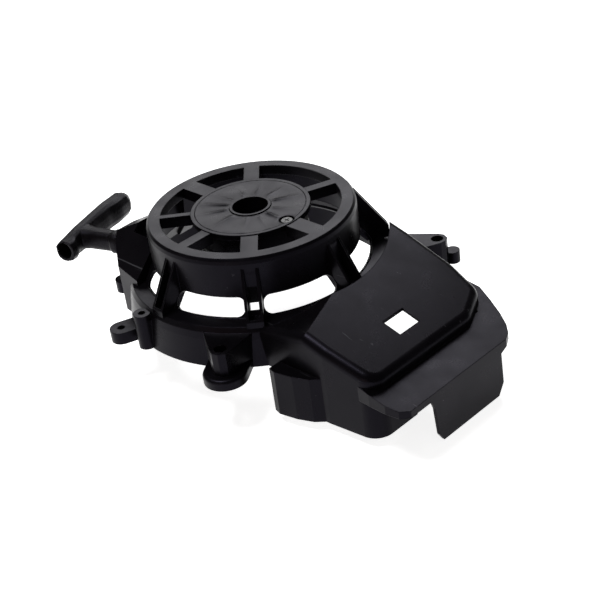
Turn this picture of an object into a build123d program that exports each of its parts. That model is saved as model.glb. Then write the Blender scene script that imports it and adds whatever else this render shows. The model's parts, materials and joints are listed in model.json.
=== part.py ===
"""Recoil starter built into the blower housing of a small vertical-shaft engine.

Units are millimetres.  Z is the crank axis, pointing up and away from the engine, and z = 0 is the
plane of the bowl's rim.  X points from the crank to the far end of the cooling-air hood.
"""
import os
from math import atan2, cos, degrees, hypot, radians, sin

from build123d import *

# ---------------------------------------------------------------- driving dimensions: housing
WALL = 2.6                 # moulded wall of the housing
TOP_Z = 85.0               # top face of the drum's ring
RING_R = 88.0              # outside of the ring
RING_IN_R = 78.0           # inside of the ring
RING_T = 4.0               # thickness of the ring and the spokes
DISC_R = 51.5              # centre disc
HUB_R = 15.4               # hole in the centre disc
HUB_LIP = 1.4              # raised lip round the hole
DRUM_FOOT_R = 90.5         # drum wall at its lower end
DRUM_FOOT_Z = 50.0
SLOT_OUT_R = 99.0          # lower, outer edge of the air slots
SLOT_OUT_Z = 36.0
SLOT_END_R = 6.8           # rounding of a slot's four corners
SHOULDER_R = 111.0         # where the bowl's flat shoulder turns down
SHOULDER_Z = 34.5
RIM_R = 117.7              # bowl wall at the rim

# spokes: direction in degrees from +X, and width
SPOKES = ((0, 16.5), (67.5, 9.0), (135, 13.9), (180, 15.5), (225, 5.6), (270, 10.5), (315, 14.5))
# gussets outside the drum: direction in degrees from +X, and width
RIBS = ((3.5, 16.0), (54, 8.0), (135, 14.0), (180, 15.0), (267.5, 13.0), (314.5, 14.5))
RIB_RIDGE = 2.4            # each of a rib's two ridges
RIB_CREST_Z = 76.0         # a rib's top at the drum
RIB_TOE = (112.5, 38.5)    # radius and height where a rib lands on the bowl's shoulder
HOOD_RIB = 54              # the rib that closes the hood's far side is taller and reaches further out
HOOD_RIB_W = 8.0
HOOD_RIB_CREST_Z = 82.5
HOOD_RIB_TOE = (116.5, 44.5)
HOOD_RIB_FROM = 106.0      # the hood's far wall reaches in to this radius at that rib
LIGHT_HOLE = (314.5, 7.5)  # hole between a rib's ridges: direction and width

# hood over the cylinder
HOOD_Z = 48.0              # hood's top where it starts, at HOOD_X
HOOD_X = 117.0
HOOD_SLOPE = 0.30          # fall of the top towards the far end
HOOD_BOTTOM = -32.0        # lower edge of the hood's side walls
HOOD_OUTLINE = (
    (50, -80), (150, -79), (199, -75), (199, 42), (184, 73), (150, 81), (100, 84), (78, 84), (50, 84),
)
HOOD_CORNER = 16.0         # rounding of the hood's corners seen from above
HOOD_EDGE = 8.0            # rounding along the hood's top edge
RISE = (92.0, -71.0, 37.0)             # point on the part of the top that dips to the bowl's shoulder
RISE_SLOPES = (0.19, 0.17)             # its rise along X and along Y
LOWER_FROM = 98.0          # the side walls reach below the rim beyond this x
BULGE = ((100, -70), (100, -91), (107, -93), (124, -90), (138, -85), (147, -78), (149, -70))
BULGE_TOP = 9.0            # shelf on top of the side bulge
MOAT_R = 116.0             # sunken ring between the slots and the hood
WINDOW = (160.0, 178.0, -18.7, 5.5)     # rectangular hole in the hood: x from, x to, y from, y to

# skirt beyond the hood's step
SKIRT_Z = 16.0             # shelf's height at SKIRT_X
SKIRT_X = 180.0
SKIRT_SLOPE = 0.16
SKIRT_OUTLINE = (
    (166, -71), (180, -76), (195, -78), (212, -79), (224, -77), (230, -70), (230, 47), (226, 55),
    (219, 62), (207, 70), (190, 79), (173, 87), (160, 87), (160, -70),
)
PLATE_BOTTOM = -40.0

# fixing points: direction, radius of the hole, hole size
EAR_TOP = 30.0
EAR_FOOT_T = 9.0
EARS = ((-57.8, 135.0, 5.25), (47.2, 156.0, 5.25))
BOSS_XY = (-22.5, -116.0)
BOSS_R = 7.5
BOSS_HOLE = 3.0
BOSS_TOP = 32.0
LUG_T = 11.0
LUG_HOLE = 3.2
LUGS = ((-112.0, 131.0, 10.0, 0.0), (-143.0, 124.0, 8.0, 9.0))

EAR_STOP = (112.2, 126.3)      # small rounded stop beyond the far ear
EAR_STOP_R = 6.5
EAR_STOP_LOW = 4.0
EAR_STOP_HIGH = 15.0

# ---------------------------------------------------------------- driving dimensions: mechanism
WELL_FLOOR = 66.0          # underside of the hub well's floor
WELL_WALL = 2.2
CLIP_R = 5.0               # collar that carries the retaining ring
POST_R = 9.0               # moulded post inside the steel bushing
BUSH_R = 11.0              # outside of the bushing
POST_END = 46.0
SCREW_R = 2.6              # thread of the centre screw
CUP_R = 47.5               # outside of the spring cup
CUP_WALL = 2.4
CUP_END = 64.0
COVER_Z = 66.0             # underside of the spring cover
COVER_T = 1.2
COVER_SCREW_R = 41.3       # circle of the three cover screws
SPRING_T = 0.8
SPRING_PITCH = 2.6
SPRING_R0 = 21.4
SPRING_TURNS = 6
SPRING_LOW = 68.0
SPRING_HIGH = 78.4
ANCHOR = (43.9, 0.0)       # screw that holds the spring's outer end, seen in a recess of the disc
ANCHOR_RECESS_R = 6.7
ROPE_D = 4.5
GROOVE_R = 33.6            # bottom of the rope groove
GROOVE_LOW = 51.6
GROOVE_HIGH = 61.0
PULLEY_R = 48.5
PULLEY_TOP = 62.5
GROOVE_WALL = 3.0
WEB_LOW = 53.0             # the pulley's web
WEB_HIGH = 57.0
PULLEY_BOTTOM = 49.5
SLEEVE_R = 20.2            # sleeve of the pulley that winds the spring
RUN_GAP = 0.05             # radial clearance of a running fit
ROPE_EXIT = (-105.5, -56.5, 45.0)       # where the rope's axis leaves the outlet block
OUTLET_OUTLINE = ((-55, -92), (-84, -88), (-102, -73), (-105.5, -66), (-105.5, -48), (-92, -38), (-55, -38))
OUTLET_TOP = 64.0          # height of the outlet block at its outer face
ROOF_SLOPE = 0.45          # rise of the outlet block's top towards the drum
OUTLET_TO = 240.5          # the air slots start again past this direction
EYELET_R = 6.0
EYELET_BORE = 2.9
EYELET_FLARE = 4.9         # the eyelet's bore opens to this radius at both ends
PAWL_R = 25.5              # pivot circle of the pawls
PAWL_ARM = 22.0
PAWL_REST = 112.0          # direction of a resting pawl's arm, from its pivot's own radius
PAWL_LOW = 45.8
PAWL_HIGH = 49.2
PIN_R = 2.2
GUIDE_LOW = 41.2
GUIDE_HIGH = 44.8
GUIDE_PIN = (18.2, 36.2)   # radius and direction of a guide finger, from the pawl pivot's radius
GRIP_OUT = 51.5            # from the eyelet to the middle of the grip's bar
GRIP_NEAR = 28.0           # the bar's two lengths either side of its stem
GRIP_FAR = 72.0
GRIP_W = 23.0
GRIP_H = 25.0
GRIP_YAW = 17.0            # the docked grip points this far off the X axis
GRIP_HOLLOW_R = 7.8
STEM_R = 10.3
STEM_GAP = 4.0             # end of the stem to the eyelet's middle


# ---------------------------------------------------------------- helpers
def polar(radius, angle, z=0.0):
    return Vector(radius * cos(radians(angle)), radius * sin(radians(angle)), z)


def rod(radius, z_low, z_high, x=0.0, y=0.0):
    return Pos(x, y, (z_low + z_high) / 2) * Cylinder(radius, z_high - z_low)


def tube(r_out, r_in, z_low, z_high, x=0.0, y=0.0):
    return rod(r_out, z_low, z_high, x, y) - rod(r_in, z_low - 1, z_high + 1, x, y)


def block(x0, x1, y0, y1, z0, z1):
    return Pos((x0 + x1) / 2, (y0 + y1) / 2, (z0 + z1) / 2) * Box(x1 - x0, y1 - y0, z1 - z0)


def prism(points, z_low, z_high):
    """A vertical prism over a closed outline of (x, y) points."""
    face = make_face(Polyline(*points, close=True))
    return Pos(0, 0, z_low) * extrude(face, z_high - z_low, dir=(0, 0, 1))


def turned(points):
    """A solid of revolution about Z from a closed outline of (r, z) points."""
    outline = Plane.XZ * Polyline(*points, close=True)
    return revolve(make_face(outline), Axis.Z)


def radial_slab(points, width, angle):
    """A flat slab of the given width, its outline drawn in (r, z) and turned to an angle."""
    outline = Plane.XZ * Polyline(*points, close=True)
    slab = extrude(make_face(outline), width / 2, both=True)
    return Rot(0, 0, angle) * slab


def keep_below(z_at, x_at, slope):
    """A big block whose top falls by slope towards +X and passes (x_at, z_at)."""
    far = 400.0
    top = Polyline((-far, z_at + slope * (far + x_at)), (far, z_at - slope * (far - x_at)),
                   (far, -far), (-far, -far), close=True)
    return extrude(make_face(Plane.XZ * top), far, both=True)


def grown(points, amount):
    """The outline moved outwards (or inwards) by amount."""
    return offset(make_face(Polyline(*points, close=True)), amount=amount, kind=Kind.INTERSECTION)


def save(shape, node):
    if isinstance(shape, (list, ShapeList)):
        shape = Compound(children=list(shape))
    shape.label = node
    export_step(shape, f"parts/{node}.step")


# ---------------------------------------------------------------- housing
def bowl(inset):
    """Drum and bowl as one solid of revolution, shrunk by inset for its hollow."""
    foot = -1.0 if inset else 0.0
    profile = (
        (0, foot), (RIM_R - inset, foot), (RIM_R - 1.2 - inset, 8), (RIM_R - 3.2 - inset, 24),
        (RIM_R - 4.4 - inset, 30), (SHOULDER_R - inset * 0.6, SHOULDER_Z - inset * 0.8),
        (SLOT_OUT_R + 1 - inset * 0.4, SLOT_OUT_Z - inset), (DRUM_FOOT_R - inset, DRUM_FOOT_Z - inset * 0.6),
        (RING_R + 2.6 - inset, TOP_Z - 5), (RING_R + 1.8 - inset, TOP_Z - 2),
        (RING_R - inset, TOP_Z), (0, TOP_Z),
    )
    body = turned(profile)
    return body & rod(200, foot - 1, TOP_Z - RING_T) if inset else body


def crest_edges(body, beyond):
    """Outer edges of a body's upward faces, without the creases between those faces."""
    tops = [f for f in body.faces() if f.normal_at().Z > 0.8]
    edges = [e for f in tops for e in f.edges()]
    outer = [e for e in edges if sum(e.is_same(other) for other in edges) == 1]
    return [e for e in outer if e.center().X > beyond]


def rounded(points, radius, inset=0.0):
    """The outline as a face with its corners rounded, shrunk by inset."""
    core = offset(make_face(Polyline(*points, close=True)), amount=-radius, kind=Kind.INTERSECTION)
    return offset(core, amount=radius - inset, kind=Kind.ARC)


def hood(inset):
    """The sloping hood over the cylinder, shrunk by inset for its hollow."""
    low = HOOD_BOTTOM - (1.0 if inset else 0)
    body = Pos(0, 0, low) * extrude(rounded(HOOD_OUTLINE, HOOD_CORNER, inset), 120, dir=(0, 0, 1))
    body = body & keep_below(HOOD_Z - inset, HOOD_X, HOOD_SLOPE)
    along, across = RISE_SLOPES
    dip = Plane(origin=Vector(*RISE) - Vector(0, 0, inset), z_dir=(-along, -across, 1))
    body = body & extrude(dip * Rectangle(900, 900), -300)
    body = fillet(crest_edges(body, -100), HOOD_EDGE - inset)
    body = body - block(0, LOWER_FROM - inset, -150, 150, low - 1, -1 if inset else 0)
    far_side = Rot(0, 0, HOOD_RIB)
    body = body - far_side * block(0, 200, HOOD_RIB_W / 2 - inset, 150, SHOULDER_Z, 120)
    bulge = Pos(0, 0, low) * extrude(grown(BULGE, -inset), BULGE_TOP - inset - low, dir=(0, 0, 1))
    moat = rod(MOAT_R + inset, SHOULDER_Z - inset, 140)
    if not inset:
        moat = moat - far_side * block(HOOD_RIB_FROM, 200, -HOOD_RIB_W / 2, 150, 0, 150)
    return body + bulge - moat


def skirt(inset):
    """Shelf, front plate and side lips that carry the air past the cylinder, shrunk for the hollow."""
    low = PLATE_BOTTOM - (1.0 if inset else 0)
    outline = grown(SKIRT_OUTLINE, -inset) if inset else make_face(Polyline(*SKIRT_OUTLINE, close=True))
    body = Pos(0, 0, low) * extrude(outline, 120, dir=(0, 0, 1))
    return body & keep_below(SKIRT_Z - inset, SKIRT_X, SKIRT_SLOPE)


def skirt_trim():
    """What is cut off the skirt's lower edges, leaving the front plate as its lowest part."""
    ends = ((-110, 12), (-76, 2), (-46, 2), (-43, -6), (-40.5, -32), (-34, PLATE_BOTTOM - 2),
            (33, PLATE_BOTTOM - 2), (41, -30), (40, -2), (47, 1), (76, 6), (110, 8), (110, -60), (-110, -60))
    return Pos(150, 0, 0) * extrude(make_face(Plane.YZ * Polyline(*ends, close=True)), 100, dir=(1, 0, 0))


def rib(angle, width):
    """A gusset from the ring down to the bowl's shoulder, with a channel between two ridges."""
    crest, (toe_r, toe_z) = RIB_CREST_Z, RIB_TOE
    if angle == HOOD_RIB:
        crest, (toe_r, toe_z) = HOOD_RIB_CREST_Z, HOOD_RIB_TOE
    foot = SHOULDER_Z - 1.5
    outer = ((80, 82), (RING_R - 0.5, max(82, crest)), (RING_R + 2.5, crest), (toe_r, toe_z), (toe_r, foot),
             (SLOT_OUT_R - 3, foot), (84, DRUM_FOOT_Z - 2))
    channel = ((RING_R + 1.8, crest + 1.5), (RING_R + 3, crest - 5), (DRUM_FOOT_R + 2.2, DRUM_FOOT_Z + 2),
               (SLOT_OUT_R + 2, SLOT_OUT_Z + 2), (toe_r - 4, toe_z - 0.5), (toe_r - 1, toe_z + 2),
               (RING_R + 5, crest + 3))
    return radial_slab(outer, width, angle) - radial_slab(channel, width - 2 * RIB_RIDGE, angle)


def slot(start, end):
    """One air slot between two ribs, through the cone between drum and bowl, with rounded ends."""
    inner = DRUM_FOOT_R + 0.4
    across = ((inner - 7, DRUM_FOOT_Z - 4.5), (inner + 5, DRUM_FOOT_Z + 4.5),
              (SLOT_OUT_R + 5, SLOT_OUT_Z + 5.0), (SLOT_OUT_R - 7, SLOT_OUT_Z - 5.0))
    outline = Plane.XZ * Polyline(*across, close=True)
    body = Rot(0, 0, start) * revolve(make_face(outline), Axis.Z, revolution_arc=end - start)
    ends = [e for e in body.edges() if e.geom_type == GeomType.LINE and 12 < e.length < 20]
    return fillet([e for e in ends if 0.5 < abs(e.tangent_at(0.5).Z) < 0.75], SLOT_END_R)


def slots():
    cuts = []
    for i, (angle, width) in enumerate(RIBS):
        after, after_width = RIBS[(i + 1) % len(RIBS)]
        if after < angle:
            after += 360
        start = angle + degrees((width / 2 + 0.3) / 94)
        end = after - degrees((after_width / 2 + 0.3) / 94)
        if angle == 180:
            start = OUTLET_TO
        cuts.append(slot(start, end))
    return cuts


def openings():
    """The openings in the drum's top, between the spokes."""
    gap = tube(RING_IN_R, DISC_R, TOP_Z - 12, TOP_Z + 5)
    for angle, width in SPOKES:
        spoke = Rot(0, 0, angle) * Pos(65, 0, TOP_Z) * Box(60, width, 40)
        gap = gap - spoke
    return gap


def spokes():
    """Stiffening webs under the ring, the spokes and the disc."""
    webs = tube(RING_IN_R + 2.2, RING_IN_R, TOP_Z - 9, TOP_Z - 1)
    for angle, width in SPOKES:
        for side in (-1, 1):
            web = Pos(65, side * (width / 2 - 1.1), TOP_Z - 5.5) * Box(30, 2.2, 9)
            webs = webs + Rot(0, 0, angle) * web
    return webs


def hub():
    """Disc, hub well, pivot post and spring cup."""
    disc = rod(DISC_R, TOP_Z - 3, TOP_Z) + tube(DISC_R, DISC_R - 3.5, TOP_Z - 1, TOP_Z + 0.6)
    lip = tube(HUB_R + 2.4, HUB_R, TOP_Z - 2, TOP_Z + HUB_LIP)
    well = tube(HUB_R + WELL_WALL, HUB_R, WELL_FLOOR, TOP_Z)
    floor = rod(HUB_R + 1, WELL_FLOOR, WELL_FLOOR + 3)
    post = rod(POST_R, POST_END, WELL_FLOOR + 1)
    cup = tube(CUP_R, CUP_R - CUP_WALL, CUP_END, TOP_Z - 2)
    body = disc + lip + cup + well + floor + post
    for k in range(3):
        x, y, _ = polar(COVER_SCREW_R, 120 * k + 60)
        body = body + rod(2.9, COVER_Z + COVER_T, TOP_Z - 1, x, y)
    x, y = ANCHOR
    return body + rod(ANCHOR_RECESS_R + 1.5, TOP_Z - 6, TOP_Z, x, y)


def hub_holes():
    """What is cut out of the disc: the well with its clip collar, the screw holes and the recess."""
    x, y = ANCHOR
    holes = rod(HUB_R, WELL_FLOOR + 3, TOP_Z + 5) - rod(CLIP_R, WELL_FLOOR, WELL_FLOOR + 7)
    holes = holes + rod(ANCHOR_RECESS_R, TOP_Z - 2.4, TOP_Z + 3, x, y) + rod(1.5, TOP_Z - 9, TOP_Z, x, y)
    for k in range(3):
        x, y, _ = polar(COVER_SCREW_R, 120 * k + 60)
        holes = holes + rod(1.0, COVER_Z, TOP_Z - 6, x, y)
    return holes + rod(SCREW_R, POST_END - 1, POST_END + 16)


def ear(angle, radius, hole):
    """A triangular fixing ear with a pillar down to a rounded foot on the rim plane."""
    spread = 11.0
    a = polar(RIM_R - 6, angle - spread)
    b = polar(RIM_R - 6, angle + spread)
    nose = polar(radius, angle)
    outline = [(a.X, a.Y)]
    for turn in (-75, -40, 0, 40, 75):
        p = nose + polar(hole + 3.6, angle + turn)
        outline.append((p.X, p.Y))
    outline.append((b.X, b.Y))
    pillar = prism(outline, 0, EAR_TOP)
    mid = polar(RIM_R + 15, angle)
    foot = rod(18.5, 0, EAR_FOOT_T, mid.X, mid.Y)
    foot = foot + Rot(0, 0, angle) * block(RIM_R - 8, RIM_R + 15, -18.5, 18.5, 0, EAR_FOOT_T)
    foot = fillet([e for e in foot.edges() if abs(e.center().Z - EAR_FOOT_T) < 0.01
                   and hypot(e.center().X, e.center().Y) > RIM_R + 2], 3.0)
    return pillar + foot - rod(hole, -1, EAR_TOP + 1, nose.X, nose.Y)


def boss():
    x, y = BOSS_XY
    column = rod(BOSS_R, 0, BOSS_TOP, x, y)
    angle = degrees(atan2(y, x))
    web = Rot(0, 0, angle) * block(RIM_R - 6, hypot(x, y), -BOSS_R, BOSS_R, 0, BOSS_TOP - 5)
    return column + web


def lug(angle, radius, size, low):
    """A rounded lug standing out from the bowl's wall."""
    high = low + LUG_T
    body = Rot(0, 0, angle) * block(RIM_R - 2, radius, -size, size, low, high)
    tip = polar(radius, angle)
    return body + rod(size, low, high, tip.X, tip.Y)


def fixing_holes():
    """The holes of the boss and the lugs, open downwards."""
    x, y = BOSS_XY
    holes = rod(BOSS_HOLE, -1, BOSS_TOP + 1, x, y)
    for angle, radius, size, low in LUGS:
        tip = polar(radius, angle)
        holes = holes + rod(LUG_HOLE, -1, low + LUG_T, tip.X, tip.Y)
    return holes


def ear_stop():
    """A small rounded stop beyond the far ear, on a web from the ear's pillar."""
    x, y = EAR_STOP
    angle = degrees(atan2(y, x))
    web = Rot(0, 0, angle) * block(hypot(x, y) - 6, hypot(x, y), -3, 3, EAR_STOP_LOW, EAR_STOP_HIGH)
    return web + rod(EAR_STOP_R, EAR_STOP_LOW, EAR_STOP_HIGH, x, y)


def light_hole():
    """A hole through the cone between the two ridges of one rib."""
    angle, width = LIGHT_HOLE
    across = ((DRUM_FOOT_R + 1, 60), (SLOT_OUT_R - 0.5, 60), (SLOT_OUT_R - 0.5, 25), (DRUM_FOOT_R - 6, 25))
    return radial_slab(across, width, angle)


def outlet(inset):
    """The block beside the drum that the rope leaves through, shrunk by inset for its hollow."""
    low = SHOULDER_Z - 12 if inset else 0
    walls = Pos(0, 0, low) * extrude(grown(OUTLET_OUTLINE, -inset), 100, dir=(0, 0, 1))
    at_face = OUTLET_TOP - inset
    roof = Polyline((-200, at_face - ROOF_SLOPE * 96), (0, at_face + ROOF_SLOPE * 104), (0, -50),
                    (-200, -50), close=True)
    roof = extrude(make_face(Plane.XZ * roof), 200, both=True)
    crest = OUTLET_TOP + 26
    side = Polyline((-140, -6), (-40, crest - inset), (0, crest), (0, -50), (-140, -50), close=True)
    side = Pos(-200, 0, 0) * extrude(make_face(Plane.YZ * side), 200, dir=(1, 0, 0))
    return walls & roof & side


def rope_passage():
    """Clears the rope's way through the drum wall, the outlet block and its face."""
    x, y, z = ROPE_EXIT
    way = block(-90, -60, y - 8, y + 8, 45, z + 8)
    mouth = Pos(x, y, z) * Rot(0, 90, 0) * Cylinder(EYELET_R, 12)
    window = block(-84, -66, y - 8, y + 8, 60, 95) - rod(DRUM_FOOT_R + 2, 0, 100)
    return way + mouth + window


def housing():
    shell = skirt(0) - skirt(WALL) - skirt_trim() - block(0, 192, -60, 60, -60, 60)
    shell = shell + bowl(0) + hood(0)
    for angle, width in RIBS:
        shell = shell + rib(angle, width)
    for fixing in EARS:
        shell = shell + ear(*fixing)
    shell = shell + outlet(0) + ear_stop()
    shell = shell - bowl(WALL) - hood(WALL)
    shell = shell - (outlet(WALL) - rod(DRUM_FOOT_R + 1, 0, 100)) + boss()
    for fixing in LUGS:
        shell = shell + lug(*fixing)
    for angle, width in RIBS:
        shell = shell + rib(angle, width)
    for cut in slots():
        shell = shell - cut
    x0, x1, y0, y1 = WINDOW
    shell = shell - openings() - block(x0, x1, y0, y1, 0, 80) - light_hole() - fixing_holes()
    shell = shell - block(190, 215, -30, 40, -40, 6)
    return shell + spokes() + hub() - hub_holes() - rope_passage()


# ---------------------------------------------------------------- spring
def recoil_spring():
    half = SPRING_PITCH / 2
    strip = None
    for k in range(2 * SPRING_TURNS):
        radius = SPRING_R0 + k * half
        ring = tube(radius + SPRING_T, radius, SPRING_LOW, SPRING_HIGH)
        if k % 2 == 0:
            piece = ring & block(-80, 80, 0, 80, 0, 100)
        else:
            piece = Pos(half, 0, 0) * (ring & block(-80, 80, -80, 0, 0, 100))
        strip = piece if strip is None else strip + piece
    return strip


def spring_cover():
    plate = tube(CUP_R - CUP_WALL - 0.2, SLEEVE_R + 0.8, COVER_Z, COVER_Z + COVER_T)
    for k in range(3):
        x, y, _ = polar(COVER_SCREW_R, 120 * k + 60)
        plate = plate - rod(1.3, COVER_Z - 1, COVER_Z + 3, x, y)
    return plate


def pan_screw(x, y, z, head_r, head_h, shank_r, length, up):
    """A pan-head screw with a cross recess; its head's seat is at z and its shank runs up or down."""
    away = -1 if up else 1
    head = rod(head_r, min(z, z + away * head_h), max(z, z + away * head_h), x, y)
    rim = [e for e in head.edges() if abs(e.center().Z - (z + away * head_h)) < 0.01]
    head = fillet(rim, head_h * 0.45)
    shank = rod(shank_r, min(z, z - away * length), max(z, z - away * length), x, y)
    cross = Pos(x, y, z + away * head_h) * (Box(head_r, 0.9, head_h) + Box(0.9, head_r, head_h))
    return head + shank - cross


def cover_screws():
    places = [polar(COVER_SCREW_R, 120 * k + 60) for k in range(3)]
    return [pan_screw(p.X, p.Y, COVER_Z, 2.3, 1.3, 1.0, 9.0, True) for p in places]


def spring_anchor_screw():
    x, y = ANCHOR
    return pan_screw(x, y, TOP_Z - 2.4, 5.4, 2.1, 1.5, 6.0, False)


def pivot_bushing():
    return tube(BUSH_R, POST_R, POST_END, WELL_FLOOR)


def hub_clip():
    """Open retaining ring on the collar in the hub well."""
    ring = tube(9.5, CLIP_R, WELL_FLOOR + 3, WELL_FLOOR + 4.4)
    return ring - block(3, 12, -2.5, 2.5, WELL_FLOOR, WELL_FLOOR + 9)


# ---------------------------------------------------------------- pulley and rope
def rope_pulley():
    """Grooved wheel with a bearing tube below, a sleeve above for the spring, and two pawl pins' holes."""
    bore = BUSH_R + RUN_GAP
    wall_r = GROOVE_R - GROOVE_WALL
    sleeve_in = SLEEVE_R - 1.9
    body = turned((
        (bore, 47), (16, 47), (16, WEB_LOW), (wall_r, WEB_LOW), (wall_r, PULLEY_BOTTOM),
        (PULLEY_R, PULLEY_BOTTOM), (PULLEY_R, GROOVE_LOW - 0.9), (GROOVE_R, GROOVE_LOW),
        (GROOVE_R, GROOVE_HIGH), (PULLEY_R, GROOVE_HIGH + 0.7), (PULLEY_R, PULLEY_TOP),
        (wall_r, PULLEY_TOP), (wall_r, WEB_HIGH), (SLEEVE_R, WEB_HIGH), (SLEEVE_R, SPRING_HIGH - 2),
        (sleeve_in, SPRING_HIGH - 2), (sleeve_in, 60), (bore, 60),
    ))
    for k in range(2):
        x, y, _ = polar(PAWL_R, 180 * k)
        body = body + rod(3.4, PULLEY_BOTTOM, 54, x, y)
        body = body - rod(PIN_R, 48, 55, x, y)
    return body - rod(2.4, 50, 58, 0, 24)


def rope_wound():
    turns = []
    for layer in range(3):
        for row in (-1, 1):
            radius = GROOVE_R + ROPE_D * (layer + 0.5)
            z = (GROOVE_LOW + GROOVE_HIGH) / 2 + row * ROPE_D / 2
            turns.append(Pos(0, 0, z) * Torus(radius, ROPE_D / 2 - 0.1))
    return turns


def rope_knot_pulley():
    return Pos(0, 24, 58.6) * Sphere(3.2) - rod(60, 40, 57)


def rope_run():
    """Rope from the pulley to the eyelet, tight and straight."""
    x, y, z = ROPE_EXIT
    start = Vector(-22, y + 8, (GROOVE_LOW + GROOVE_HIGH) / 2 + 1)
    end = Vector(x + 5, y + 0.6, z + 0.7)
    path = Plane(origin=start, z_dir=end - start)
    return extrude(path * Circle(ROPE_D / 2), (end - start).length)


def rope_eyelet():
    """Flanged ring whose bore flares to both ends."""
    x, y, z = ROPE_EXIT
    half = 4.0
    profile = (
        (EYELET_BORE, 0), (EYELET_FLARE, half), (EYELET_R, half), (EYELET_R, 0), (EYELET_R, -half + 1.8),
        (8.2, -half + 1.8), (8.2, -half + 0.6), (7.4, -half), (EYELET_FLARE, -half),
    )
    return Pos(x + half - 1.8, y, z) * Rot(0, 90, 0) * turned(profile)


# ---------------------------------------------------------------- pawls and guide
def pawl(side):
    """One engaging pawl, its arm lying along PAWL_REST."""
    arm = rod(4.6, PAWL_LOW, PAWL_HIGH) + block(0, PAWL_ARM - 3, -3.6, 3.6, PAWL_LOW, PAWL_HIGH)
    arm = arm + rod(3.6, PAWL_LOW, PAWL_HIGH, PAWL_ARM - 3, 0) - rod(PIN_R + RUN_GAP, 40, 55)
    return Rot(0, 0, 180 * side) * Pos(PAWL_R, 0, 0) * Rot(0, 0, PAWL_REST) * arm


def pawl_pins():
    pins = []
    for k in range(2):
        x, y, _ = polar(PAWL_R, 180 * k)
        head = rod(PIN_R + 0.9, PAWL_LOW - 0.9, PAWL_LOW - 0.3, x, y)
        pins.append(rod(PIN_R, PAWL_LOW - 0.3, WEB_LOW + 0.5, x, y) + head)
    return pins


def pawl_springs():
    """Two light wire rings round the pins, between pawl and pulley web."""
    rings = []
    for k in range(2):
        x, y, _ = polar(PAWL_R, 180 * k)
        rings.append(Pos(x, y, 51.0) * Torus(4.4, 0.4))
    return rings


def pawl_guide():
    plate = tube(21.8, 5.05, GUIDE_LOW, GUIDE_HIGH)
    radius, angle = GUIDE_PIN
    for k in range(2):
        x, y, _ = polar(radius, angle + 180 * k)
        plate = plate + rod(1.8, GUIDE_HIGH, PAWL_HIGH - 0.4, x, y)
        notch = Rot(0, 0, angle + 90 + 180 * k) * block(15, 30, -6, 6, GUIDE_LOW - 1, GUIDE_HIGH + 1)
        plate = plate - notch
    return plate


def centre_screw():
    head = rod(8.0, 36.6, 40.6)
    head = fillet([e for e in head.edges() if e.center().Z < 37], 1.2)
    body = head + rod(5.0, 40.6, 45.2) + rod(SCREW_R, 45.2, POST_END + 14)
    return body - extrude(Pos(0, 0, 36) * RegularPolygon(3.4, 6), 3.2)


def hub_washer():
    return tube(14.0, SCREW_R, 45.2, POST_END)


def brake_spring():
    return tube(7.6, 5.2, 40.7, 41.1)


# ---------------------------------------------------------------- handle
def docked(shape):
    """Places a shape of the handle: its X axis runs along the rope to the eyelet, its origin is the bar."""
    x, y, z = ROPE_EXIT
    along = Vector(cos(radians(GRIP_YAW)), sin(radians(GRIP_YAW)), 0)
    middle = Vector(x, y, z) - along * GRIP_OUT
    return Pos(middle) * Rot(0, 0, GRIP_YAW) * shape


def handle_grip():
    """T grip: a bar across the rope with a tapered stem, hollow from its near end."""
    bar = extrude(Plane.XZ * RectangleRounded(GRIP_W, GRIP_H, 9.0), (GRIP_NEAR + GRIP_FAR) / 2, both=True)
    bar = Pos(0, (GRIP_FAR - GRIP_NEAR) / 2, 0) * bar
    bar = fillet([e for e in bar.edges() if abs(e.center().Y - GRIP_FAR) < 0.01], 7.0)
    bar = fillet([e for e in bar.edges() if abs(e.center().Y + GRIP_NEAR) < 0.01], 1.5)
    length = GRIP_OUT - STEM_GAP
    shank = Pos((length - 10) / 2, 0, 0) * Rot(0, 90, 0) * Cylinder(STEM_R, length - 10)
    tip = Pos(length - 5, 0, 0) * Rot(0, 90, 0) * Cone(STEM_R, 8.0, 10)
    cheek = make_face(Polyline((0, -24), (0, 34), (22, 9), (22, -9), close=True))
    grip = bar + shank + tip + extrude(cheek, 6, both=True)
    hollow = Rot(90, 0, 0) * Cylinder(GRIP_HOLLOW_R, 80)
    bore = Pos(length / 2, 0, 0) * Rot(0, 90, 0) * Cylinder(EYELET_BORE, length + 2)
    return docked(grip - Pos(0, GRIP_FAR - 20 - 40, 0) * hollow - bore)


def rope_lead():
    start = 3.0
    end = GRIP_OUT - 0.5
    return docked(Pos((start + end) / 2, 0, 0) * Rot(0, 90, 0) * Cylinder(ROPE_D / 2, end - start))


def rope_knot_handle():
    return docked(Pos(-0.5, 0, 0) * Sphere(4.4) - Pos(8, 0, 0) * Box(10, 20, 20))


def knot_washer():
    ring = Rot(0, 90, 0) * (Cylinder(4.9, 1.2) - Cylinder(ROPE_D / 2 + 0.2, 3))
    return docked(Pos(5, 0, 0) * ring)


NODES = {
    "blower_housing": housing,
    "recoil_spring": recoil_spring,
    "spring_cover": spring_cover,
    "cover_screws": cover_screws,
    "spring_anchor_screw": spring_anchor_screw,
    "pivot_bushing": pivot_bushing,
    "hub_clip": hub_clip,
    "rope_pulley": rope_pulley,
    "rope_wound": rope_wound,
    "rope_knot_pulley": rope_knot_pulley,
    "rope_run": rope_run,
    "rope_eyelet": rope_eyelet,
    "pawl_1": lambda: pawl(0),
    "pawl_2": lambda: pawl(1),
    "pawl_pins": pawl_pins,
    "pawl_springs": pawl_springs,
    "pawl_guide": pawl_guide,
    "centre_screw": centre_screw,
    "hub_washer": hub_washer,
    "brake_spring": brake_spring,
    "handle_grip": handle_grip,
    "rope_lead": rope_lead,
    "rope_knot_handle": rope_knot_handle,
    "knot_washer": knot_washer,
}

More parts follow.
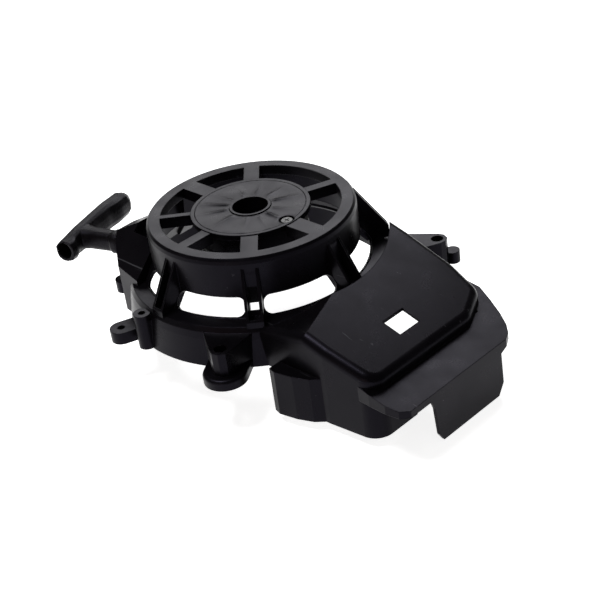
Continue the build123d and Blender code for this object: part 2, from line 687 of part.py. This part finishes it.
if __name__ == "__main__":
    os.makedirs("parts", exist_ok=True)
    for node, make in NODES.items():
        save(make(), node)
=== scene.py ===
"""Recoil starter housing: a black moulded blower housing with its hand starter.

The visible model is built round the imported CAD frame. Lengths are in metres."""

import json
import math

import bpy
from mathutils import Matrix, Vector


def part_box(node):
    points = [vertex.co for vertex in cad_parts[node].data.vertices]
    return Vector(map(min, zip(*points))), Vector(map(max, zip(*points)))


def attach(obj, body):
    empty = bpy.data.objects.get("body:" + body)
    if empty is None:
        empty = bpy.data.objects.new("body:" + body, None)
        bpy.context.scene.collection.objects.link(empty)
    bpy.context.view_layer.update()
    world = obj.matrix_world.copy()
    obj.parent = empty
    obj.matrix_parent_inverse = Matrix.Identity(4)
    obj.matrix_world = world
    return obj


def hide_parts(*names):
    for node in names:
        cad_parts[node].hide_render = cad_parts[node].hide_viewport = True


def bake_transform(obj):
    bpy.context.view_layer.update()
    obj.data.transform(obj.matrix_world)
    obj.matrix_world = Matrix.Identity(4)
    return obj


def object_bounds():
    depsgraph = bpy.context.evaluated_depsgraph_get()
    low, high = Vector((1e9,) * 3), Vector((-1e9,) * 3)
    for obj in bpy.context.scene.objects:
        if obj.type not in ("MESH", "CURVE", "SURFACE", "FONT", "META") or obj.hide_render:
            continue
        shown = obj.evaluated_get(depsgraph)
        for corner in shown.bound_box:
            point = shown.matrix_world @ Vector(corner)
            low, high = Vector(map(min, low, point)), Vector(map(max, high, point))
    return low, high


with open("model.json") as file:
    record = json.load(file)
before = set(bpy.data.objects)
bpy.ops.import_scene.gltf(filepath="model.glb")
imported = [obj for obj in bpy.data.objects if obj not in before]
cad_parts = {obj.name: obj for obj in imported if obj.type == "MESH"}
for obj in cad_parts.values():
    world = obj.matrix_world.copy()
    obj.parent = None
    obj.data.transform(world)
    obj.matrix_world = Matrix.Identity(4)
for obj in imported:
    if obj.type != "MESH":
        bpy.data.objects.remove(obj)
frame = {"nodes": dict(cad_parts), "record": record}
cad_lo, cad_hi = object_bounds()

# Camera: place, direction and roll in the row frame
CAMERA_AT = Vector((0.81512, -0.68411, 0.62613))
CAMERA_FORWARD = Vector((-0.6403, 0.5695, -0.5155))
CAMERA_UP = Vector((-0.2867, 0.4453, 0.8482))
LENS = 84
SENSOR = 36

# Floor
FLOOR_SIDE = 80.0
FLOOR_GAP = 0.0006
FLOOR_COLOUR = (0.86, 0.86, 0.86)
FLOOR_ROUGHNESS = 0.85
FLOOR_GLOW = 0.85
GLOW_COLOUR = (1.0, 1.0, 1.0)

# Disc: radii and heights of its moulded skin
DISC_TOP = 0.085
DISC_FROM = 0.0177
DISC_TO = 0.0481
DISC_RINGS = 44
DISC_SECTORS = 360
SKIN = 0.00004
SKIN_THICKNESS = 0.0003
DISH_IN = 0.0006
DISH_OUT = 0.0005

# Soft folds that run out over the disc
FOLDS = 12
FOLD_HEIGHT = 0.0010
FOLD_SHARPNESS = 1.5
FOLD_START = 0.16
FADE_START = 0.25
FADE_SHARE = 0.80
FOLD_EVEN = 0.72
FOLD_UNEVEN = 0.28

# Opening in the skin round the spring's anchor screw
RECESS_R = 0.0069
RECESS_EASE = 0.003
RECESS_SNAP = 0.8

# Grip: the bar crosses the stem's axis at its origin.
# x runs along the stem to the housing, y along the bar.
GRIP_YAW = math.radians(17)
GRIP_NEAR = 0.028
GRIP_FAR = 0.072
GRIP_VOXEL = 0.0007
GRIP_CALM = 0.5
GRIP_CALM_ROUNDS = 6

# Half widths and half heights of the bar: (place along the bar, size)
BAR_RINGS = 60
BAR = {
    "inner": ((-0.028, 0.0100), (-0.022, 0.0108), (-0.014, 0.0070), (0.0, 0.0068),
              (0.016, 0.0072), (0.034, 0.0085), (0.052, 0.0112), (0.064, 0.0108),
              (0.070, 0.0072), (0.072, 0.0040)),
    "outer": ((-0.028, 0.0096), (0.010, 0.0114), (0.040, 0.0114), (0.064, 0.0100),
              (0.070, 0.0078), (0.072, 0.0050)),
    "top": ((-0.028, 0.0092), (0.0, 0.0112), (0.040, 0.0124), (0.062, 0.0118),
            (0.070, 0.0090), (0.072, 0.0060)),
    "low": ((-0.028, 0.0108), (0.0, 0.0116), (0.040, 0.0124), (0.062, 0.0116),
            (0.070, 0.0090), (0.072, 0.0060)),
}

# The bar's cross-section: (side, share of it in x, side, share of it in z)
BAR_SECTION = (
    ("outer", -1.0, "top", 0.30), ("outer", -0.93, "top", 0.42),
    ("outer", -0.42, "top", 0.97), ("outer", -0.30, "top", 1.0),
    ("inner", 0.25, "top", 0.97), ("inner", 0.72, "top", 0.78),
    ("inner", 0.97, "top", 0.35), ("inner", 1.0, "top", 0.0),
    ("inner", 0.95, "low", -0.42), ("inner", 0.66, "low", -0.84),
    ("inner", 0.1, "low", -1.0), ("outer", -0.45, "low", -0.97),
    ("outer", -0.85, "low", -0.72), ("outer", -0.98, "low", -0.30),
)

# The stem: (place along it, half width, half height)
STEM = (
    (-0.004, 0.0080, 0.0080), (0.004, 0.0105, 0.0100), (0.012, 0.0086, 0.0094),
    (0.034, 0.0082, 0.0092), (0.0355, 0.0084, 0.0094), (0.0365, 0.0100, 0.0101),
    (0.0415, 0.0101, 0.0101), (0.0435, 0.0094, 0.0094), (0.0470, 0.0080, 0.0080),
)
STEM_SIDES = 32
STEM_SQUARENESS = 0.72

# The hollow in the bar's near end: (place along the bar, share of its half sizes)
HOLLOW_X = 0.0073
HOLLOW_Z = 0.0078
HOLLOW_SHIFT = 0.0006
HOLLOW_SIDES = 40
HOLLOW = ((-GRIP_NEAR - 0.002, 1.0), (-GRIP_NEAR + 0.001, 1.0), (-0.010, 0.86))

# Rope outlet: the mouth of the eyelet, the way the rope runs inwards, and the grip's origin
ALONG = Vector((math.cos(GRIP_YAW), math.sin(GRIP_YAW), 0))
EXIT = Vector((-0.1055, -0.0565, 0.045))
GRIP_SETBACK = 0.0515
GRIP_AT = EXIT - ALONG * GRIP_SETBACK

# Rope
ROPE_R = 0.00224
ROPE_IN = 0.048
ROPE_RINGS = 240
ROPE_SIDES = 32
BRAID = 260.0
BRAID_DEPTH = 0.00025
BRAID_STRANDS = 4

# Lights: (name, place, width, height, power, colour)
WHITE = (1.0, 1.0, 1.0)
SKY_STRENGTH = 0.12
SOFTBOXES = (
    ("back_softbox", (-0.95, 0.85, 0.85), 1.1, 0.6, 8.5, WHITE),
    ("hood_softbox", (-0.50, 0.95, 1.15), 0.7, 0.5, 6.0, WHITE),
    ("top_softbox", (-0.22, -0.30, 1.15), 0.55, 0.35, 10.0, WHITE),
    ("warm_fill", (0.35, -1.3, 0.30), 0.9, 0.35, 1.2, (1.0, 0.72, 0.55)),
)

# Scratches: (turn of the strokes, scale of the noise)
SCRATCH_SETS = ((0.5, 26.0), (1.9, 33.0), (2.6, 21.0))
SCRATCH_STRETCH = (0.35, 9.0, 9.0)
SCRATCH_TILT = (0.2, 0.3)
SCRATCH_FROM = 0.74
SCRATCH_TO = 0.76
SCRATCH_SHARE = 0.05

GLOSS_SCALE = 2.7
BEVEL_SAMPLES = 4


def material(name):
    """A new material with nodes, and its nodes and links."""
    made = bpy.data.materials.new(name)
    made.use_nodes = True
    return made, made.node_tree.nodes, made.node_tree.links


def noise(nodes, links, vector, scale, detail=4.0, roughness=0.55, stretch=None):
    """The factor of a noise texture at vector, with (scale, rotation) in stretch if asked."""
    texture = nodes.new("ShaderNodeTexNoise")
    texture.inputs["Scale"].default_value = scale
    texture.inputs["Detail"].default_value = detail
    texture.inputs["Roughness"].default_value = roughness
    if stretch is not None:
        mapping = nodes.new("ShaderNodeMapping")
        mapping.inputs["Scale"].default_value = stretch[0]
        mapping.inputs["Rotation"].default_value = stretch[1]
        links.new(vector, mapping.inputs["Vector"])
        vector = mapping.outputs["Vector"]
    links.new(vector, texture.inputs["Vector"])
    return texture.outputs["Fac"]


def ranged(nodes, links, value, low, high, to_low, to_high):
    """value from low..high brought to to_low..to_high, and clamped."""
    node = nodes.new("ShaderNodeMapRange")
    sockets = ("From Min", "From Max", "To Min", "To Max")
    for socket, number in zip(sockets, (low, high, to_low, to_high)):
        node.inputs[socket].default_value = number
    links.new(value, node.inputs["Value"])
    return node.outputs["Result"]


def combined(nodes, links, operation, a, b):
    """One value from two, by a maths node."""
    node = nodes.new("ShaderNodeMath")
    node.operation = operation
    links.new(a, node.inputs[0])
    links.new(b, node.inputs[1])
    return node.outputs[0]


def mixed(nodes, links, factor, a, b):
    """Colour a turning to colour b where factor is 1."""
    node = nodes.new("ShaderNodeMix")
    node.data_type = "RGBA"
    links.new(factor, node.inputs["Factor"])
    for socket, colour in ((node.inputs[6], a), (node.inputs[7], b)):
        if isinstance(colour, tuple):
            socket.default_value = (*colour, 1)
        else:
            links.new(colour, socket)
    return node.outputs[2]


def surface(name, dark, light, rough, patch=18.0, grain=1400.0, bump=0.05, depth=0.0002,
            metallic=0.0, specular=0.5, scratches=None, edge=0.0, tint=WHITE):
    """A worn surface: patches of colour and gloss, fine grain in relief, scratches if asked.

    dark, light: the two colours of the patches. rough: (lowest, highest) roughness.
    scratches: (colour, how many from 0 to 1). edge: radius that edges are softened by."""
    made, nodes, links = material(name)
    shader = nodes["Principled BSDF"]
    shader.inputs["Metallic"].default_value = metallic
    shader.inputs["Specular IOR Level"].default_value = specular
    shader.inputs["Specular Tint"].default_value = (*tint, 1)
    place = nodes.new("ShaderNodeTexCoord").outputs["Object"]
    patches = noise(nodes, links, place, patch)
    fine = noise(nodes, links, place, grain, detail=2.0)
    spread = ranged(nodes, links, patches, 0.35, 0.68, 0.0, 1.0)
    colour = mixed(nodes, links, spread, dark, light)
    shine = noise(nodes, links, place, patch * GLOSS_SCALE, detail=6.0)
    gloss = ranged(nodes, links, shine, 0.3, 0.7, *rough)
    if scratches:
        shade, share = scratches
        lines = None
        for angle, size in SCRATCH_SETS:
            strokes = noise(nodes, links, place, size, detail=3.0,
                            stretch=(SCRATCH_STRETCH, (*SCRATCH_TILT, angle)))
            sharp = ranged(nodes, links, strokes, SCRATCH_FROM - SCRATCH_SHARE * share,
                           SCRATCH_TO - SCRATCH_SHARE * share, 0.0, 1.0)
            if lines is None:
                lines = sharp
            else:
                lines = combined(nodes, links, "MAXIMUM", lines, sharp)
        worn = ranged(nodes, links, patches, 0.45, 0.62, 0.0, 0.8)
        broken = combined(nodes, links, "MULTIPLY", lines, worn)
        colour = mixed(nodes, links, broken, colour, shade)
    links.new(colour, shader.inputs["Base Color"])
    links.new(gloss, shader.inputs["Roughness"])
    relief = nodes.new("ShaderNodeBump")
    relief.inputs["Strength"].default_value = bump
    relief.inputs["Distance"].default_value = depth
    if edge:
        soft = nodes.new("ShaderNodeBevel")
        soft.samples = BEVEL_SAMPLES
        soft.inputs["Radius"].default_value = edge
        links.new(soft.outputs["Normal"], relief.inputs["Normal"])
    links.new(fine, relief.inputs["Height"])
    links.new(relief.outputs["Normal"], shader.inputs["Normal"])
    return made


nylon = surface("housing_nylon", (0.0012, 0.0010, 0.0013), (0.0028, 0.0023, 0.0030),
                (0.25, 0.37), bump=0.20, depth=0.00010, specular=0.08,
                tint=(0.76, 0.71, 1.0), scratches=((0.045, 0.045, 0.05), 0.3), edge=0.0009)
grip_rubber = surface("grip_rubber", (0.0016, 0.0014, 0.0016), (0.0040, 0.0034, 0.0038),
                      (0.28, 0.42), patch=40.0, grain=900.0, bump=0.8, depth=0.0004,
                      specular=0.08, tint=(0.82, 0.78, 1.0))
pulley_nylon = surface("pulley_nylon", (0.012, 0.012, 0.012), (0.022, 0.022, 0.022),
                       (0.4, 0.55))
spring_steel = surface("spring_steel", (0.16, 0.15, 0.14), (0.30, 0.28, 0.26),
                       (0.28, 0.42), metallic=1.0)
zinc_steel = surface("zinc_steel", (0.45, 0.44, 0.42), (0.62, 0.61, 0.58),
                     (0.25, 0.45), metallic=1.0)
bright_steel = surface("bright_steel", (0.55, 0.54, 0.53), (0.70, 0.69, 0.67),
                       (0.16, 0.30), metallic=1.0)
dark_screw = surface("dark_screw", (0.006, 0.006, 0.006), (0.014, 0.014, 0.014),
                     (0.28, 0.45), specular=0.35)
pawl_steel = surface("pawl_steel", (0.24, 0.23, 0.21), (0.38, 0.36, 0.33),
                     (0.30, 0.5), metallic=1.0)
rope_fibre = surface("rope_fibre", (0.014, 0.013, 0.013), (0.035, 0.033, 0.032),
                     (0.7, 0.85), patch=120.0, grain=3000.0, bump=0.6)

FINISH = {
    "housing": nylon,
    "grip": grip_rubber,
    "pulley_nylon": pulley_nylon,
    "spring_steel": spring_steel,
    "zinc_steel": zinc_steel,
    "bright_steel": bright_steel,
    "dark_screw": dark_screw,
    "pawl_steel": pawl_steel,
    "rope": rope_fibre,
}


def finish_cad_nodes():
    """Gives each carried-over CAD node the finish of its material slot."""
    for part in frame["record"]["subparts"]:
        obj = frame["nodes"][part["node"]]
        finish = FINISH[part["material_slot"]]
        if not obj.material_slots:
            obj.data.materials.append(finish)
        for place in obj.material_slots:
            place.material = finish


def piece(name, verts, faces, finish, slot, body):
    """A smooth mesh with the given finish; it rides on body unless body is None."""
    mesh = bpy.data.meshes.new(name)
    mesh.from_pydata(verts, [], faces)
    mesh.update()
    mesh.materials.append(finish)
    obj = bpy.data.objects.new(name, mesh)
    bpy.context.scene.collection.objects.link(obj)
    for face in mesh.polygons:
        face.use_smooth = True
    if body:
        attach(obj, body)
    return obj


def disc_height(radius, angle):
    """Height of the moulded skin over the flat disc: dished, with soft ridges that run outwards."""
    share = (radius - DISC_FROM) / (DISC_TO - DISC_FROM)
    dish = DISH_IN * (1 - share) ** 3 + DISH_OUT * share ** 3
    across = FOLDS / 2 * angle + 0.55 * math.sin(2 * angle) + 0.35 * math.sin(3 * angle + 1.3)
    ridge = (1 - abs(math.sin(across))) ** FOLD_SHARPNESS
    fade = 1 - FADE_SHARE * max(0.0, share - FADE_START) / (1 - FADE_START)
    reach = min(1.0, share / FOLD_START) * fade
    uneven = FOLD_EVEN + FOLD_UNEVEN * math.sin(5 * angle + 2.0)
    return SKIN + dish + FOLD_HEIGHT * ridge * reach * uneven


def disc_face():
    """The disc's dished top skin from the hub's lip to the rim, open round the screw's recess."""
    low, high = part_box("spring_anchor_screw")
    recess = Vector(((low.x + high.x) / 2, (low.y + high.y) / 2))
    verts, inside = [], []
    for i in range(DISC_RINGS + 1):
        radius = DISC_FROM + (DISC_TO - DISC_FROM) * i / DISC_RINGS
        for k in range(DISC_SECTORS):
            angle = math.tau * k / DISC_SECTORS
            spot = Vector((radius * math.cos(angle), radius * math.sin(angle)))
            away = spot - recess
            near = away.length < RECESS_R
            height = disc_height(radius, angle)
            if away.length < RECESS_R + RECESS_EASE:
                height = SKIN + (height - SKIN) * max(
                    0.0, (away.length - RECESS_R) / RECESS_EASE)
            if near and away.length > RECESS_R * RECESS_SNAP:
                spot = recess + away.normalized() * RECESS_R
                near = False
            inside.append(near)
            verts.append((spot.x, spot.y, DISC_TOP + height))
    faces = []
    for i in range(DISC_RINGS):
        for k in range(DISC_SECTORS):
            here, beyond = i * DISC_SECTORS, (i + 1) * DISC_SECTORS
            after = (k + 1) % DISC_SECTORS
            corner = (here + k, here + after, beyond + after, beyond + k)
            if not any(inside[c] for c in corner):
                faces.append(corner[::-1])
    obj = piece("disc_face", verts, faces, nylon, "housing", None)
    thick = obj.modifiers.new("thickness", "SOLIDIFY")
    thick.thickness = SKIN_THICKNESS
    thick.offset = -1
    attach(obj, "housing")


def loft(sections):
    """Vertices and faces of a closed skin through rings of equal length, capped at both ends."""
    count = len(sections[0])
    verts = [p for ring in sections for p in ring]
    faces = []
    for i in range(len(sections) - 1):
        for k in range(count):
            faces.append((i * count + k, i * count + (k + 1) % count,
                          (i + 1) * count + (k + 1) % count, (i + 1) * count + k))
    faces.append(tuple(reversed(range(count))))
    faces.append(tuple((len(sections) - 1) * count + k for k in range(count)))
    return verts, faces


def eased(table, at):
    """Smooth value at a place along a short list of (place, value) stations."""
    if at <= table[0][0]:
        return table[0][1]
    for (a, low), (b, high) in zip(table, table[1:]):
        if at <= b:
            t = (at - a) / (b - a)
            return low + (high - low) * t * t * (3 - 2 * t)
    return table[-1][1]


def facing_out(obj):
    """Turns every face of a closed form outwards."""
    bpy.context.view_layer.objects.active = obj
    obj.select_set(True)
    bpy.ops.object.mode_set(mode="EDIT")
    bpy.ops.mesh.select_all(action="SELECT")
    bpy.ops.mesh.normals_make_consistent(inside=False)
    bpy.ops.object.mode_set(mode="OBJECT")
    obj.select_set(False)


def grip_bar():
    """The bar of the T, with its outer facet and the fingers' hollows."""
    sections = []
    for i in range(BAR_RINGS + 1):
        y = -GRIP_NEAR + (GRIP_NEAR + GRIP_FAR) * i / BAR_RINGS
        size = {side: eased(table, y) for side, table in BAR.items()}
        sections.append([(size[across] * x, y, size[upright] * z)
                         for across, x, upright, z in BAR_SECTION])
    return piece("grip_bar_form", *loft(sections), grip_rubber, "grip", None)


def grip_stem():
    """The stem that the rope runs into, squarish, with a collar."""
    sections = []
    for x, half_y, half_z in STEM:
        ring = []
        for k in range(STEM_SIDES):
            angle = math.tau * k / STEM_SIDES
            c, n = math.cos(angle), math.sin(angle)
            ring.append((x, half_y * math.copysign(abs(c) ** STEM_SQUARENESS, c),
                         half_z * math.copysign(abs(n) ** STEM_SQUARENESS, n)))
        sections.append(ring)
    return piece("grip_stem_form", *loft(sections), grip_rubber, "grip", None)


def grip_hollow():
    """The form that opens the bar's near end."""
    sections = []
    for y, grow in HOLLOW:
        angles = (math.tau * k / HOLLOW_SIDES for k in range(HOLLOW_SIDES))
        sections.append([(grow * HOLLOW_X * math.cos(a) - HOLLOW_SHIFT, y,
                          grow * HOLLOW_Z * math.sin(a)) for a in angles])
    return piece("grip_hollow_form", *loft(sections), grip_rubber, "grip", None)


def grip():
    """The T grip: bar and stem melted into one skin, with an open near end."""
    place = Matrix.Translation(GRIP_AT) @ Matrix.Rotation(GRIP_YAW, 4, "Z")
    bar, stem, core = grip_bar(), grip_stem(), grip_hollow()
    for part in (bar, stem, core):
        facing_out(part)
    for other, action in ((stem, "UNION"), (core, "DIFFERENCE")):
        join = bar.modifiers.new("join", "BOOLEAN")
        join.object = other
        join.operation = action
        join.solver = "EXACT"
    melt = bar.modifiers.new("melt", "REMESH")
    melt.mode = "VOXEL"
    melt.voxel_size = GRIP_VOXEL
    calm = bar.modifiers.new("calm", "SMOOTH")
    calm.factor = GRIP_CALM
    calm.iterations = GRIP_CALM_ROUNDS
    evaluated = bar.evaluated_get(bpy.context.evaluated_depsgraph_get())
    shape = bpy.data.meshes.new_from_object(evaluated)
    verts = [place @ v.co for v in shape.vertices]
    faces = [tuple(p.vertices) for p in shape.polygons]
    for part in (bar, stem, core):
        bpy.data.objects.remove(part)
    made = piece("grip_sculpted", verts, faces, grip_rubber, "grip", "handle")
    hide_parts("handle_grip")


def floor():
    """A wide, level, pale sheet just under the part's lowest point."""
    bpy.ops.mesh.primitive_plane_add(size=FLOOR_SIDE, location=(0, 0, cad_lo.z - FLOOR_GAP))
    sheet = bpy.context.object
    sheet.name = "floor"
    made, nodes, _ = material("floor_paper")
    shader = nodes["Principled BSDF"]
    shader.inputs["Base Color"].default_value = (*FLOOR_COLOUR, 1)
    shader.inputs["Roughness"].default_value = FLOOR_ROUGHNESS
    shader.inputs["Emission Color"].default_value = (*GLOW_COLOUR, 1)
    shader.inputs["Emission Strength"].default_value = FLOOR_GLOW
    sheet.data.materials.append(made)


def softbox(name, at, width, height, power, colour, target):
    """A soft area light at one point, turned to another."""
    lamp = bpy.data.lights.new(name, "AREA")
    lamp.shape = "RECTANGLE"
    lamp.size = width
    lamp.size_y = height
    lamp.energy = power
    lamp.color = colour
    obj = bpy.data.objects.new(name, lamp)
    bpy.context.scene.collection.objects.link(obj)
    obj.location = at
    obj.rotation_mode = "QUATERNION"
    obj.rotation_quaternion = (Vector(target) - Vector(at)).to_track_quat("-Z", "Y")


def lights():
    """Four soft lights round the part, a weak even sky and the plain view transform."""
    middle = (cad_lo + cad_hi) / 2
    for box in SOFTBOXES:
        softbox(*box, middle)
    world = bpy.data.worlds.new("studio")
    bpy.context.scene.world = world
    world.use_nodes = True
    sky = world.node_tree.nodes["Background"]
    sky.inputs["Color"].default_value = (*WHITE, 1)
    sky.inputs["Strength"].default_value = SKY_STRENGTH
    bpy.context.scene.view_settings.view_transform = "Standard"


def camera():
    """The camera, placed as the photo was taken."""
    lens = bpy.data.cameras.new("camera")
    lens.lens = LENS
    lens.sensor_width = SENSOR
    obj = bpy.data.objects.new("camera", lens)
    bpy.context.scene.collection.objects.link(obj)
    back = -CAMERA_FORWARD.normalized()
    right = CAMERA_UP.cross(back).normalized()
    up = back.cross(right)
    turn = Matrix((right, up, back)).transposed()
    obj.matrix_world = Matrix.Translation(CAMERA_AT) @ turn.to_4x4()
    bpy.context.scene.camera = obj


def rope():
    """Braided rope from the eyelet into the grip."""
    start = EXIT - ALONG * ROPE_IN
    side = Vector((-ALONG.y, ALONG.x, 0))
    rise = Vector((0, 0, 1))
    sections = []
    for i in range(ROPE_RINGS + 1):
        along = ROPE_IN * i / ROPE_RINGS
        centre = start + ALONG * along
        ring = []
        for k in range(ROPE_SIDES):
            angle = math.tau * k / ROPE_SIDES
            turn = along * BRAID
            strands = (math.cos(BRAID_STRANDS * (angle + turn))
                       * math.cos(BRAID_STRANDS * (angle - turn)))
            radius = ROPE_R - BRAID_DEPTH * (0.5 + 0.5 * strands)
            ring.append(centre + (side * math.cos(angle) + rise * math.sin(angle)) * radius)
        sections.append(ring)
    made = piece("starter_rope", *loft(sections), rope_fibre, "rope", None)
    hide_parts("rope_lead")
    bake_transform(made)


finish_cad_nodes()
disc_face()
grip()
rope()
floor()
lights()
camera()
